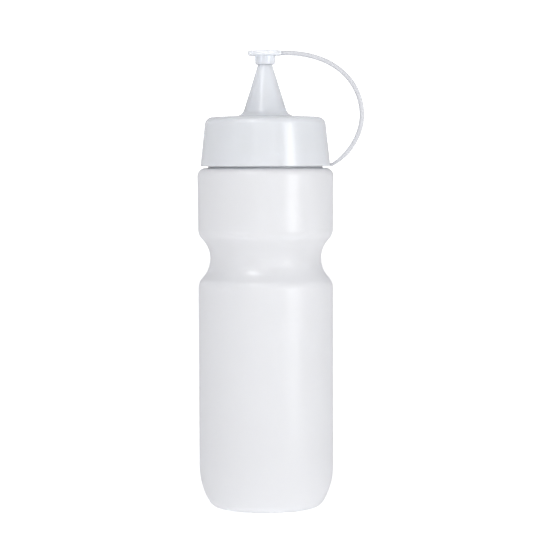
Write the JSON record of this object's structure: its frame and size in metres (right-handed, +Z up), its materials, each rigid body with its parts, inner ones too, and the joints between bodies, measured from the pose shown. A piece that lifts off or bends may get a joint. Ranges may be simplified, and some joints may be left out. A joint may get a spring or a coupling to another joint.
{
  "type": "condiment squeeze bottle",
  "caption": "Translucent squeeze bottle with a gripping waist, a screw cap with a long cone nozzle, and a tip cap held by a bent moulded strap.",
  "frame": {"origin": "on the bottle's axis, in the plane of the standing ring that the bottle rests on", "axes": "+Z up along the bottle's axis, from the standing ring to the nozzle; +X towards the side that the strap bends out to; +Y away from the viewer who has the strap on the right"},
  "size_m": [0.0857, 0.07, 0.2347],
  "materials": {
    "body_ldpe": "satin",
    "cap_ldpe": "satin",
    "seal_foam": "matte"
  },
  "bodies": {
    "bottle": {"bottle": "body_ldpe"},
    "seal": {"seal_ring": "seal_foam"},
    "screw_cap": {"screw_cap": "cap_ldpe", "tether_strap": "cap_ldpe"},
    "tip_cap": {"tip_cap": "cap_ldpe"}
  },
  "joints": [
    {"name": "cap_lift", "type": "slide", "parent": "bottle", "child": "seal", "axis": [0, 0, 1], "range_m": [0, 0.024]},
    {"name": "cap_turn", "type": "hinge", "parent": "seal", "child": "screw_cap", "pos_m": [0, 0, 0.19], "axis": [0, 0, 1], "range_deg": [0, 2160]},
    {"name": "tip_cap_pull", "type": "slide", "parent": "screw_cap", "child": "tip_cap", "axis": [0, 0, 1], "range_m": [0, 0.012], "deforming": ["tether_strap"]}
  ],
  "couplings": [
    {"joint": "cap_lift", "follows": "cap_turn", "m_per_rad": 0.00063662}
  ]
}
